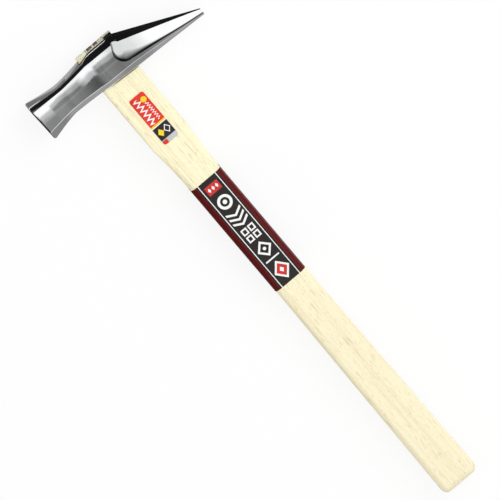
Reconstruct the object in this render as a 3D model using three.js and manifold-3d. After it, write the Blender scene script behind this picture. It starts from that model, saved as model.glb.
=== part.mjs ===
// A pointed carpenter's hammer, lying on one cheek.
// Millimetres, +Z up. X runs along the head, from the striking face (-X) to the point (+X).
// Y runs along the handle, from the butt (-Y) to the top of the head (+Y).
// The origin is on the lower cheek, under the crossing of the handle's axis and the face's axis.
import * as THREE from "three";
import { mergeVertices } from "three/addons/utils/BufferGeometryUtils.js";
import Module from "manifold-3d";

const wasm = await Module();
wasm.setup();

// Fits between the pieces
const drive_clearance = 0.3;
const wedge_clearance = 0.2;
const film_clearance = 0.05;
const glue_line = 0.05;
const cutter_overrun = 3;

// Head: where its stretches begin and end along X
const face_x = -46.2;
const neck_x = -28.5;
const shoulder_x = -10.2;
const cheek_start_x = -4.5;
const cheek_end_x = 6.9;
const crown_end_x = 10.4;
const point_root_x = 11.2;
const tip_x = 54.6;

// Head: each station is an eight-sided section, told by its heights above and below the face's axis
// and by its half widths. topEdge and bottomEdge are the heights of the edges along the side.
const face = {
  top: 10.35, topEdge: 7.65, bottomEdge: -6.4, bottom: -10.95, side: 10.3, topFlat: 9, bottomFlat: 7.9,
};
const neck = {
  top: 8.4, topEdge: 6.7, bottomEdge: -5.2, bottom: -7.9, side: 8.1, topFlat: 6.1, bottomFlat: 5.95,
};
const shoulder = {
  top: 10.2, topEdge: 8.5, bottomEdge: -5.7, bottom: -8.4, side: 9.75, topFlat: 6.6, bottomFlat: 7.6,
};
const cheek_half_width = 10.5;
const crown_height = 11.6;
const cheek_start = {
  top: crown_height, topEdge: 8.45, bottomEdge: -6.1, bottom: -8.72,
  side: cheek_half_width, topFlat: 7, bottomFlat: 8.4,
};
const cheek_end = {
  top: crown_height, topEdge: 8.3, bottomEdge: -6.35, bottom: -9.5,
  side: cheek_half_width, topFlat: 7, bottomFlat: 8,
};
const crown_end = {
  top: crown_height, topEdge: 6.1, bottomEdge: -6.6, bottom: -9.95, side: 9.8, topFlat: 6.8, bottomFlat: 7.1,
};
const point_root = {
  top: 9.85, topEdge: 5.2, bottomEdge: -6.65, bottom: -10.05, side: 9.6, topFlat: 6.3, bottomFlat: 6.9,
};
const tip = {
  top: -9.3, topEdge: -9.35, bottomEdge: -12, bottom: -12.7, side: 1.9, topFlat: 1, bottomFlat: 1.1,
};

// Head: how sharply each stretch flares out of the neck, and how many slices draw it
const face_flare_power = 1.3;
const face_side_flare_power = 2;
const shoulder_flare_power = 1.6;
const shoulder_side_flare_power = 2.2;
const flare_slices = 12;
const ramp_slices = 4;

// Head: the striking face leans a little towards the handle and has a rounded rim
const face_lean = THREE.MathUtils.degToRad(2);
const rim_radius = 1.6;
const rim_slices = 4;

// Head: the hollow-ground facet on each side of the point. Its edge is straight above its start, an
// arc round it and straight along its foot. The fillet swells under the start and fades towards the tip.
const facet_start_radius = 6.38;
const facet_start_x = 11.4;
const facet_start_y = 1.8;
const facet_top_angle = THREE.MathUtils.degToRad(152);
const facet_swell_angle = THREE.MathUtils.degToRad(195);
const facet_foot_rise_at_tip = 0.05;
const facet_floor_at_start = 8.6;
const facet_floor_at_tip = 1.45;
const facet_floor_tilt = THREE.MathUtils.degToRad(1.5);
const facet_fillet = 7;
const facet_fillet_at_tip = 0.5;
const facet_fade_power = 2.5;
const facet_arc_slices = 14;
const facet_foot_slices = 8;
const facet_fillet_slices = 4;

// Handle
const handle_length = 300;
const stub_height = 0.55;
const tang_width = 22.8;
const tang_thickness = 11;
const tang_corner = 1;
const block_end_y = -49.8;
const waist_start_y = -78.2;
const waist_end_y = -157;
const waist_width = 19.6;
const waist_start_thickness = 15;
const waist_end_thickness = 15.4;
const butt_width = 22;
const butt_thickness = 17;
const grip_corner = 3.6;
const butt_round_in = 3;
const butt_round_along = 4.1;
const butt_slices = 5;
const waist_flare_power = 1.9;
const waist_slices = 8;
const corner_slices = 5;

// Steel wedges across the end grain
const wedge_length = 17;
const wedge_width = 7.2;
const wedge_offset_z = -1;
const wedge_sink = 0.3;
const wedge_edge = 0.6;
const face_side_wedge_x = -2.45;
const face_side_wedge_thickness = 2.6;
const point_side_wedge_x = 1.6;
const point_side_wedge_thickness = 2;

// Label film round the waist, and the sticker below the head
const film_wall = 0.15;
const film_start_y = -78.5;
const film_end_y = -147.7;
const sticker_width = 9.3;
const sticker_length = 29.7;
const sticker_wall = 0.2;
const sticker_corner = 1.4;
const sticker_top_y = -21.3;
const sticker_x = -0.1;

// Places worked out from the sizes
const stub_top_y = crown_height + stub_height;
const butt_y = stub_top_y - handle_length;
const head_underside_y = cheek_end.bottom;
const eye_width = tang_width + 2 * drive_clearance;
const eye_thickness = tang_thickness + 2 * drive_clearance;
const eye_corner = tang_corner + drive_clearance;

// A closed body through rings of points. Each ring runs anticlockwise as seen from where the rings
// are going. The first and the last are flat, and no side of theirs hides another from their first point.
function loft(rings) {
  const count = rings[0].length;
  const points = rings.flat();
  const indices = [];
  for (let r = 0; r + 1 < rings.length; r += 1) {
    for (let i = 0; i < count; i += 1) {
      const a = r * count + i;
      const b = r * count + ((i + 1) % count);
      indices.push(a, b, b + count, a, b + count, a + count);
    }
  }
  const last = (rings.length - 1) * count;
  for (let i = 1; i + 1 < count; i += 1) {
    indices.push(0, i + 1, i);
    indices.push(last, last + i, last + i + 1);
  }
  const geometry = new THREE.BufferGeometry().setFromPoints(points);
  geometry.setIndex(indices);
  return geometry;
}

// Moves every side of a convex anticlockwise outline inwards by a distance, or outwards if negative.
function inset(outline, distance) {
  const count = outline.length;
  return outline.map((corner, i) => {
    const before = outline[(i + count - 1) % count];
    const after = outline[(i + 1) % count];
    const into = corner.clone().sub(before).normalize();
    const away = after.clone().sub(corner).normalize();
    const normal_in = new THREE.Vector2(-into.y, into.x);
    const normal_out = new THREE.Vector2(-away.y, away.x);
    const middle = normal_in.add(normal_out).normalize();
    const reach = distance / middle.dot(normal_out);
    return corner.clone().addScaledVector(middle, reach);
  });
}

// A rounded rectangle as an anticlockwise outline.
function roundedRectangle(half_width, half_height, radius) {
  const outline = [];
  const centres = [[1, 1], [-1, 1], [-1, -1], [1, -1]];
  centres.forEach(([side_x, side_y], quarter) => {
    for (let i = 0; i <= corner_slices; i += 1) {
      const angle = (quarter + i / corner_slices) * (Math.PI / 2);
      outline.push(new THREE.Vector2(
        side_x * (half_width - radius) + radius * Math.cos(angle),
        side_y * (half_height - radius) + radius * Math.sin(angle),
      ));
    }
  });
  return outline;
}

// The same body on the other side of the plane Z = 0, its faces still pointing outwards.
function mirrored(geometry) {
  const copy = geometry.clone().scale(1, 1, -1);
  copy.setIndex(Array.from(geometry.index.array).reverse());
  return copy;
}

// Solids for the joins and cuts
function solid(geometry) {
  const bare = geometry.clone();
  bare.deleteAttribute("normal");
  bare.deleteAttribute("uv");
  const merged = mergeVertices(bare);
  return new wasm.Manifold(new wasm.Mesh({
    numProp: 3,
    vertProperties: new Float32Array(merged.attributes.position.array),
    triVerts: new Uint32Array(merged.index.array),
  }));
}

function geometryOf(body) {
  const mesh = body.getMesh();
  const geometry = new THREE.BufferGeometry();
  geometry.setAttribute("position", new THREE.BufferAttribute(mesh.vertProperties, mesh.numProp));
  geometry.setIndex(new THREE.BufferAttribute(mesh.triVerts, 1));
  geometry.computeVertexNormals();
  return geometry;
}

// Head
const between = (from, to, share) => Object.fromEntries(
  Object.keys(from).map((size) => [size, THREE.MathUtils.lerp(from[size], to[size], share)]),
);

// A section on its way between two others, whose half width grows by a power of its own.
const flared = (from, to, share, power, side_power) => ({
  ...between(from, to, share ** power),
  side: THREE.MathUtils.lerp(from.side, to.side, share ** side_power),
});

const headOutline = (s) => [
  new THREE.Vector2(s.top, s.topFlat),
  new THREE.Vector2(s.top, -s.topFlat),
  new THREE.Vector2(s.topEdge, -s.side),
  new THREE.Vector2(s.bottomEdge, -s.side),
  new THREE.Vector2(s.bottom, -s.bottomFlat),
  new THREE.Vector2(s.bottom, s.bottomFlat),
  new THREE.Vector2(s.bottomEdge, s.side),
  new THREE.Vector2(s.topEdge, s.side),
].reverse();

const headRing = (outline, x, lean) => outline.map(
  (p) => new THREE.Vector3(x - p.x * Math.tan(lean), p.x, p.y),
);

const point_stations = [
  [cheek_start_x, cheek_start],
  [cheek_end_x, cheek_end],
  [crown_end_x, crown_end],
  [point_root_x, point_root],
  [tip_x, tip],
];

// The section at a place from the cheek to the tip, or the nearest one outside of that.
function pointStation(x) {
  const inside = THREE.MathUtils.clamp(x, cheek_start_x, tip_x);
  const next = Math.max(1, point_stations.findIndex(([place]) => inside <= place));
  const [start_x, start] = point_stations[next - 1];
  const [end_x, end] = point_stations[next];
  return between(start, end, (inside - start_x) / (end_x - start_x));
}

function rimRings() {
  const rings = [];
  for (let i = 0; i <= rim_slices; i += 1) {
    const angle = (i / rim_slices) * (Math.PI / 2);
    const outline = inset(headOutline(face), rim_radius * (1 - Math.sin(angle)));
    rings.push(headRing(outline, face_x + rim_radius * (1 - Math.cos(angle)), face_lean));
  }
  return rings;
}

function flareRings() {
  const rings = [];
  const rim_end_x = face_x + rim_radius;
  for (let i = 1; i < flare_slices; i += 1) {
    const left = 1 - i / flare_slices;
    const x = THREE.MathUtils.lerp(neck_x, rim_end_x, left);
    const station = flared(neck, face, left, face_flare_power, face_side_flare_power);
    rings.push(headRing(headOutline(station), x, face_lean * left));
  }
  for (let i = 0; i <= flare_slices; i += 1) {
    const gone = i / flare_slices;
    const x = THREE.MathUtils.lerp(neck_x, shoulder_x, gone);
    const station = flared(neck, shoulder, gone, shoulder_flare_power, shoulder_side_flare_power);
    rings.push(headRing(headOutline(station), x, 0));
  }
  return rings;
}

function blockRings() {
  const rings = [];
  for (let i = 1; i <= ramp_slices; i += 1) {
    const gone = i / ramp_slices;
    const x = THREE.MathUtils.lerp(shoulder_x, cheek_start_x, gone);
    const eased = Math.sin((gone * Math.PI) / 2);
    rings.push(headRing(headOutline(between(shoulder, cheek_start, eased)), x, 0));
  }
  const rest = point_stations.slice(1).map(([x, station]) => headRing(headOutline(station), x, 0));
  return [...rings, ...rest];
}

// The hollow's edge on the side of the point, from above its start, round it and along its foot to
// beyond the tip. Each place has its direction into the hollow and how far the fillet is swollen there.
function facetEdge() {
  const centre = new THREE.Vector2(facet_start_x, facet_start_y);
  const to_tip = new THREE.Vector2(tip_x, tip.bottomEdge + facet_foot_rise_at_tip).sub(centre);
  const foot_slope = Math.atan2(to_tip.y, to_tip.x) + Math.asin(facet_start_radius / to_tip.length());
  const foot_angle = (3 * Math.PI) / 2 + foot_slope;
  const edge = [];
  for (let i = 0; i <= facet_arc_slices; i += 1) {
    const angle = THREE.MathUtils.lerp(facet_top_angle, foot_angle, i / facet_arc_slices);
    const out = new THREE.Vector2(Math.cos(angle), Math.sin(angle));
    edge.push({
      place: centre.clone().addScaledVector(out, facet_start_radius),
      into: out.clone().negate(),
      swell: THREE.MathUtils.smoothstep(angle, facet_swell_angle, foot_angle),
    });
  }
  const first = edge[0];
  const up = new THREE.Vector2(-first.into.y, first.into.x);
  const rise = (crown_height + 2 * cutter_overrun - first.place.y) / up.y;
  edge.unshift({ place: first.place.clone().addScaledVector(up, rise), into: first.into, swell: 0 });
  const last = edge.at(-1);
  const along = new THREE.Vector2(last.into.y, -last.into.x);
  const run = (tip_x + cutter_overrun - last.place.x) / along.x;
  for (let i = 1; i <= facet_foot_slices; i += 1) {
    const gone = i / facet_foot_slices;
    edge.push({
      place: last.place.clone().addScaledVector(along, run * gone),
      into: last.into,
      swell: (1 - gone) ** facet_fade_power,
    });
  }
  return edge;
}

function facetFloor(x, y) {
  const along = (x - facet_start_x) / (tip_x - facet_start_x);
  const middle_y = THREE.MathUtils.lerp(facet_start_y, (tip.top + tip.bottom) / 2, along);
  const level = THREE.MathUtils.lerp(facet_floor_at_start, facet_floor_at_tip, along);
  return level - Math.tan(facet_floor_tilt) * (y - middle_y);
}

// What the wheel takes away on the +Z side of the point. Its wall rises from the floor along the fillet,
// meets the side of the point at the hollow's edge and runs on past it.
function facetCutter() {
  const edge = facetEdge();
  const wallRing = (share, overrun) => {
    const ring = edge.map(({ place, into, swell }) => {
      const radius = THREE.MathUtils.lerp(facet_fillet_at_tip, facet_fillet, swell);
      const depth = pointStation(place.x).side - facetFloor(place.x, place.y);
      const mouth = Math.acos(THREE.MathUtils.clamp(1 - depth / radius, 0, 1));
      const angle = mouth * share;
      const inwards = radius * (Math.sin(mouth) - Math.sin(angle)) - overrun * Math.cos(angle);
      const height = radius * (1 - Math.cos(angle)) + overrun * Math.sin(angle);
      const { x, y } = place.clone().addScaledVector(into, inwards);
      return new THREE.Vector3(x, y, facetFloor(x, y) + height);
    });
    const far_x = tip_x + 2 * cutter_overrun;
    const far_y = crown_height + cutter_overrun;
    ring.push(new THREE.Vector3(far_x, far_y, facetFloor(far_x, far_y) + overrun));
    return ring;
  };
  const rings = [];
  for (let i = 0; i <= facet_fillet_slices; i += 1) {
    rings.push(wallRing(i / facet_fillet_slices, 0));
  }
  rings.push(wallRing(1, cutter_overrun));
  const out_z = cheek_half_width + 2 * cutter_overrun;
  rings.push(rings.at(-1).map((p) => new THREE.Vector3(p.x, p.y, out_z)));
  return loft(rings);
}

function eyeCutter() {
  const shape = new THREE.Shape(roundedRectangle(eye_width / 2, eye_thickness / 2, eye_corner));
  const depth = crown_height - head_underside_y + 2 * cutter_overrun;
  const geometry = new THREE.ExtrudeGeometry(shape, { depth, bevelEnabled: false });
  geometry.rotateX(-Math.PI / 2);
  geometry.translate(0, head_underside_y - cutter_overrun, 0);
  return geometry;
}

function hammerHead() {
  const blank = solid(loft([...rimRings(), ...flareRings(), ...blockRings()]));
  const upper = facetCutter();
  const lower = mirrored(upper);
  return geometryOf(blank.subtract(solid(upper)).subtract(solid(lower)).subtract(solid(eyeCutter())));
}

// Handle
const handleRing = (outline, y) => outline.map((p) => new THREE.Vector3(p.y, y, p.x));

const thicknessAt = (y) => (y > waist_start_y
  ? THREE.MathUtils.mapLinear(y, head_underside_y, waist_start_y, tang_thickness, waist_start_thickness)
  : THREE.MathUtils.mapLinear(
    y, waist_start_y, waist_end_y, waist_start_thickness, waist_end_thickness,
  ));

const gripOutline = (width, thickness, corner) => (
  roundedRectangle(thickness / 2, width / 2, corner)
);

const waistOutline = (y) => gripOutline(waist_width, thicknessAt(y), grip_corner);

function wedge(x, thickness, clearance, overrun) {
  const top = stub_top_y - wedge_sink + overrun;
  const foot = stub_top_y - wedge_sink - wedge_length;
  const half_edge = wedge_edge / 2;
  const slope = (thickness / 2 - half_edge) / wedge_length;
  const half_foot = half_edge - slope * clearance + clearance;
  const half_top = thickness / 2 + slope * overrun + clearance;
  const shape = new THREE.Shape([
    new THREE.Vector2(-half_foot, foot - clearance),
    new THREE.Vector2(half_foot, foot - clearance),
    new THREE.Vector2(half_top, top),
    new THREE.Vector2(-half_top, top),
  ]);
  const depth = wedge_width + 2 * clearance;
  const geometry = new THREE.ExtrudeGeometry(shape, { depth, bevelEnabled: false });
  geometry.translate(x, 0, wedge_offset_z - depth / 2);
  return geometry;
}

const wedgePocket = (x, thickness) => solid(wedge(x, thickness, wedge_clearance, cutter_overrun));

function handle() {
  const rings = [];
  const butt = gripOutline(butt_width, butt_thickness, grip_corner);
  for (let i = 0; i <= butt_slices; i += 1) {
    const angle = (i / butt_slices) * (Math.PI / 2);
    const y = butt_y + butt_round_along * (1 - Math.cos(angle));
    rings.push(handleRing(inset(butt, butt_round_in * (1 - Math.sin(angle))), y));
  }
  rings.push(handleRing(waistOutline(waist_end_y), waist_end_y));
  for (let i = 0; i <= waist_slices; i += 1) {
    const gone = i / waist_slices;
    const swell = gone ** waist_flare_power;
    const y = THREE.MathUtils.lerp(waist_start_y, block_end_y, gone);
    const width = THREE.MathUtils.lerp(waist_width, tang_width, swell);
    const corner = THREE.MathUtils.lerp(grip_corner, tang_corner, gone);
    rings.push(handleRing(gripOutline(width, thicknessAt(y), corner), y));
  }
  const tang = gripOutline(tang_width, tang_thickness, tang_corner);
  rings.push(handleRing(tang, head_underside_y));
  rings.push(handleRing(tang, stub_top_y));
  return geometryOf(
    solid(loft(rings))
      .subtract(wedgePocket(face_side_wedge_x, face_side_wedge_thickness))
      .subtract(wedgePocket(point_side_wedge_x, point_side_wedge_thickness)),
  );
}

// Label film and sticker
function filmBody(growth, overrun) {
  const rings = [film_end_y - overrun, film_start_y + overrun].map(
    (y) => handleRing(inset(waistOutline(y), -growth), y),
  );
  return solid(loft(rings));
}

function labelSleeve() {
  const outer = filmBody(film_clearance + film_wall, 0);
  return geometryOf(outer.subtract(filmBody(film_clearance, cutter_overrun / 4)));
}

function stickerPlate() {
  const shape = new THREE.Shape(roundedRectangle(sticker_width / 2, sticker_length / 2, sticker_corner));
  return new THREE.ExtrudeGeometry(shape, { depth: sticker_wall, bevelEnabled: false });
}

// Assembly
const steel = { color: 0xb9bcc0, roughness: 0.12, metalness: 1 };
const wedge_steel = { color: 0x5f5c58, roughness: 0.45, metalness: 1 };
const pale_wood = { color: 0xf0e2bd, roughness: 0.6, metalness: 0 };
const printed_film = { color: 0x3a3230, roughness: 0.25, metalness: 0 };
const printed_paper = { color: 0xd8402c, roughness: 0.35, metalness: 0 };

function piece(name, geometry, finish) {
  const mesh = new THREE.Mesh(geometry, new THREE.MeshStandardMaterial(finish));
  mesh.name = name;
  return mesh;
}

const hammer = new THREE.Group();
hammer.position.z = cheek_half_width;
hammer.add(
  piece("hammer_head", hammerHead(), steel),
  piece("handle", handle(), pale_wood),
  piece("wedge_face_side", wedge(face_side_wedge_x, face_side_wedge_thickness, 0, 0), wedge_steel),
  piece("wedge_point_side", wedge(point_side_wedge_x, point_side_wedge_thickness, 0, 0), wedge_steel),
  piece("label_sleeve", labelSleeve(), printed_film),
);

const sticker = piece("handle_sticker", stickerPlate(), printed_paper);
const sticker_middle_y = sticker_top_y - sticker_length / 2;
const thickness_gained = waist_start_thickness - tang_thickness;
const block_slope = Math.atan2(thickness_gained / 2, head_underside_y - waist_start_y);
sticker.rotation.x = -block_slope;
sticker.position.set(
  sticker_x, sticker_middle_y, thicknessAt(sticker_middle_y) / 2 + glue_line / Math.cos(block_slope),
);
hammer.add(sticker);

const part = new THREE.Group();
part.add(hammer);

export default part;
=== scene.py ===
"""A pointed carpenter's hammer on a pale studio floor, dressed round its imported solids.

Sizes are in millimetres in the part's own frame, and become metres where a mesh is made. X runs along
the head from the striking face to the point, Y along the handle from the butt to the crown, Z up.
"""

import logging
import math
from collections.abc import Sequence
from dataclasses import astuple, dataclass, replace
from enum import Enum
from itertools import pairwise

import bmesh
import bpy
from mathutils import Matrix, Vector


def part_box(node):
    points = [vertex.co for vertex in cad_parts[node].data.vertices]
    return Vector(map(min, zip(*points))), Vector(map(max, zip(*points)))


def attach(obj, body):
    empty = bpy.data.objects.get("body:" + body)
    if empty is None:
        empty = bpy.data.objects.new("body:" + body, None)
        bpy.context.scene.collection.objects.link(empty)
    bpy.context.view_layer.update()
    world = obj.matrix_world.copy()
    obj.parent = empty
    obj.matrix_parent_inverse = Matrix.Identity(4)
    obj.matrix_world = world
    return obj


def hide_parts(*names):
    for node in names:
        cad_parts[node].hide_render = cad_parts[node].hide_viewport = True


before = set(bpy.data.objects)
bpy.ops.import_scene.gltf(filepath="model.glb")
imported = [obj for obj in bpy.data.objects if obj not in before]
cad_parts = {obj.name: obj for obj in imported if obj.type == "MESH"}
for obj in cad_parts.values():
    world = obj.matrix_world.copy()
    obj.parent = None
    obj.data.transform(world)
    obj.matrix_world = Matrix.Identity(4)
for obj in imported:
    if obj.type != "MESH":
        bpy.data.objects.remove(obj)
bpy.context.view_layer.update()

log = logging.getLogger("pointed_hammer")

MM = 0.001
BODY = "root"

EVEN = (1.0, 1.0, 1.0)

Colour = tuple[float, float, float]
Span = tuple[float, float]


class Slot(Enum):
    """The record's material slots."""

    STEEL = "polished_steel"
    WOOD = "pale_wood"
    WEDGE = "wedge_steel"
    STICKER = "sticker_print"
    SLEEVE = "sleeve_print"


def tone(red: int, green: int, blue: int) -> Colour:
    """A display colour as the linear one that the shaders take.

    Args:
        red: Red from 0 to 255.
        green: Green from 0 to 255.
        blue: Blue from 0 to 255.

    Returns:
        The linear colour.
    """

    def linear(value: int) -> float:
        """One channel, made linear."""
        share = value / 255
        return share / 12.92 if share <= 0.04045 else ((share + 0.055) / 1.055) ** 2.4

    return linear(red), linear(green), linear(blue)


def mix(start: float, end: float, share: float) -> float:
    """The number that lies a share of the way from start to end."""
    return start + (end - start) * share


# Shaders


class Nodes:
    """A node tree and the steps that fill it."""

    def __init__(self, tree: bpy.types.NodeTree) -> None:
        """Takes a tree on."""
        self.tree = tree

    def node(self, kind: str, inputs: dict | None = None, **settings: object) -> bpy.types.Node:
        """Adds a node.

        Args:
            kind: The node's type.
            inputs: What goes into each socket: another socket, or a value.
            **settings: The node's own settings.

        Returns:
            The node.
        """
        made = self.tree.nodes.new(kind)
        for name, value in settings.items():
            setattr(made, name, value)
        for name, value in (inputs or {}).items():
            self.feed(made.inputs[name], value)
        return made

    def feed(self, socket: bpy.types.NodeSocket, value: object) -> None:
        """Links a socket into another, or writes a value there.

        Args:
            socket: The socket that is fed.
            value: The socket or the value that goes into it.
        """
        if isinstance(value, bpy.types.NodeSocket):
            self.tree.links.new(value, socket)
        else:
            socket.default_value = value

    def fit(self, value: bpy.types.NodeSocket, low: float, high: float,
            to_low: float = 0.0, to_high: float = 1.0) -> bpy.types.NodeSocket:
        """Moves a value from one range into another, and keeps it there.

        Args:
            value: The value.
            low: Start of its range.
            high: End of its range.
            to_low: What low becomes.
            to_high: What high becomes.

        Returns:
            The new value.
        """
        inputs = {"Value": value, "From Min": low, "From Max": high, "To Min": to_low, "To Max": to_high}
        return self.node("ShaderNodeMapRange", inputs).outputs[0]

    def sum(self, kind: str, first: object, second: object = 0.0) -> bpy.types.NodeSocket:
        """A step of arithmetic on two sockets or numbers."""
        return self.node("ShaderNodeMath", {0: first, 1: second}, operation=kind).outputs[0]

    def blend(self, share: object, first: object, second: object, kind: str = "MIX") -> bpy.types.NodeSocket:
        """One colour laid over another.

        Args:
            share: How much of the second shows.
            first: The colour below.
            second: The colour above.
            kind: How they mix.

        Returns:
            The colour.
        """
        made = self.node("ShaderNodeMix", data_type="RGBA", blend_type=kind)
        self.feed(made.inputs[0], share)
        for index, colour in ((6, first), (7, second)):
            linked = isinstance(colour, bpy.types.NodeSocket)
            self.feed(made.inputs[index], colour if linked else (*colour, 1))
        return made.outputs[2]

    def rays(self, *kinds: str) -> bpy.types.NodeSocket:
        """Tells kinds of ray apart.

        Args:
            *kinds: The kinds, by the names of their sockets.

        Returns:
            A value that is 1 for these kinds, and 0 for the others.
        """
        outputs = self.node("ShaderNodeLightPath").outputs
        found = outputs[kinds[0]]
        for kind in kinds[1:]:
            found = self.sum("MAXIMUM", found, outputs[kind])
        return found


class Sketch(Nodes):
    """A material and the nodes that it is made of."""

    def __init__(self, name: str) -> None:
        """Starts a material with one surface shader.

        Args:
            name: The material's name.
        """
        self.material = bpy.data.materials.new(name)
        self.material.use_nodes = True
        super().__init__(self.material.node_tree)
        self.shader = self.tree.nodes["Principled BSDF"]

    def surface(self, **inputs: object) -> None:
        """Feeds the surface shader. Socket names have their spaces as underscores."""
        for name, value in inputs.items():
            self.feed(self.shader.inputs[name.replace("_", " ")], value)

    def show(self, surface: bpy.types.NodeSocket) -> None:
        """Shows another surface in the place of the shader's own."""
        self.feed(self.tree.nodes["Material Output"].inputs["Surface"], surface)

    def place(self, scale: Sequence[float] = (1, 1, 1),
              turn: Sequence[float] = (0, 0, 0)) -> bpy.types.NodeSocket:
        """The surface's own coordinates in millimetres, scaled and turned.

        Args:
            scale: How much each axis is stretched.
            turn: Turn about each axis, in radians.

        Returns:
            The coordinates.
        """
        source = self.node("ShaderNodeTexCoord").outputs["Object"]
        inputs = {"Vector": source, "Scale": [s / MM for s in scale], "Rotation": list(turn)}
        return self.node("ShaderNodeMapping", inputs).outputs["Vector"]

    def axes(self) -> bpy.types.NodeOutputs:
        """The surface's own X, Y and Z in millimetres."""
        return self.node("ShaderNodeSeparateXYZ", {0: self.place()}).outputs

    def noise(self, stretch: Sequence[float], scale: float, detail: float = 2.0, rough: float = 0.5,
              warp: float = 0.0, turn: Sequence[float] = (0, 0, 0)) -> bpy.types.NodeSocket:
        """Cloudy noise.

        Args:
            stretch: How much each axis of the surface's own coordinates is stretched under it.
            scale: Its scale in those coordinates.
            detail: How many finer layers it has.
            rough: How strong these are.
            warp: How far it is warped.
            turn: Turn about each axis, in radians.

        Returns:
            A value from 0 to 1.
        """
        inputs = {"Vector": self.place(stretch, turn), "Scale": scale, "Detail": detail, "Roughness": rough,
                  "Distortion": warp}
        return self.node("ShaderNodeTexNoise", inputs).outputs[0]

    def bump(self, height: bpy.types.NodeSocket, depth: float,
             below: bpy.types.NodeSocket | None = None) -> bpy.types.NodeSocket:
        """A bump, over another if one is given.

        Args:
            height: Where it is high.
            depth: How high, in millimetres.
            below: The bump below it.

        Returns:
            The bent normal.
        """
        inputs = {"Height": height, "Strength": 1.0, "Distance": depth * MM}
        if below is not None:
            inputs["Normal"] = below
        return self.node("ShaderNodeBump", inputs).outputs[0]


@dataclass(frozen=True)
class PolishedSteel:
    """Mirror-polished stainless steel with the faint marks of the wheel, and a painted shade where the hollow
    begins.

    Attributes:
        colour: Colour of its reflections.
        duller: The same where the polish is thinner.
        gloss_low: Roughness where it is brightest.
        gloss_high: Roughness in the wheel's marks.
        ripple: Height of the slow waves that hand polishing leaves, in millimetres.
        scratch: Depth of the wheel's marks, in millimetres.
        shade: Share of the steel's colour that is left where the hollow begins: a painted shade that darkens
            its reflections there.
        shade_starts: Between which places along the head the shade sets in.
        shade_ends: Between which places it fades out.
    """

    colour: Colour = (0.79, 0.795, 0.8)
    duller: Colour = (0.72, 0.725, 0.735)
    gloss_low: float = 0.035
    gloss_high: float = 0.08
    ripple: float = 0.12
    scratch: float = 0.0006
    shade: float = 0.76
    shade_starts: Span = (-2.0, 5.0)
    shade_ends: Span = (16.0, 25.0)

    def material(self) -> bpy.types.Material:
        """Makes the material.

        Returns:
            The material.
        """
        s = Sketch("polished_steel")
        marks = s.noise((0.12, 1, 1), 6.0, 4.0, 0.6)
        rough = s.fit(marks, 0.3, 0.75, self.gloss_low, self.gloss_high)
        waves = s.bump(s.noise(EVEN, 0.07, 1.0), self.ripple)
        length = s.axes()["X"]
        # Painted shade: the steel's colour is darkened along the head where the hollow begins, between
        # shade_starts and shade_ends.
        kept = s.fit(length, *self.shade_ends, 1.0, 0.0)
        painted_shade_mask = s.sum("MULTIPLY", s.fit(length, *self.shade_starts), kept)
        steel = s.blend(s.fit(s.noise(EVEN, 0.09), 0.35, 0.65), self.colour, self.duller)
        steel = s.blend(painted_shade_mask, steel, (self.shade, self.shade, self.shade), "MULTIPLY")
        s.surface(Base_Color=steel, Roughness=rough, Normal=s.bump(marks, self.scratch, waves), Metallic=1.0)
        return s.material


@dataclass(frozen=True)
class DarkSteel:
    """Rolled wedge steel, dull and a little rusty in spots.

    Attributes:
        colour: Colour of the steel.
        rust: Colour of its rusty spots.
    """

    colour: Colour = tone(158, 150, 130)
    rust: Colour = tone(158, 134, 102)

    def material(self) -> bpy.types.Material:
        """Makes the material.

        Returns:
            The material.
        """
        s = Sketch("wedge_steel")
        spots = s.noise(EVEN, 1.1, 5.0, 0.65)
        lines = s.noise((6.0, 0.4, 1), 1.4, 3.0)
        s.surface(Base_Color=s.blend(s.fit(spots, 0.48, 0.66), self.colour, self.rust),
                  Roughness=s.fit(spots, 0.3, 0.7, 0.38, 0.62), Normal=s.bump(lines, 0.02), Metallic=0.5)
        return s.material


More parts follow.
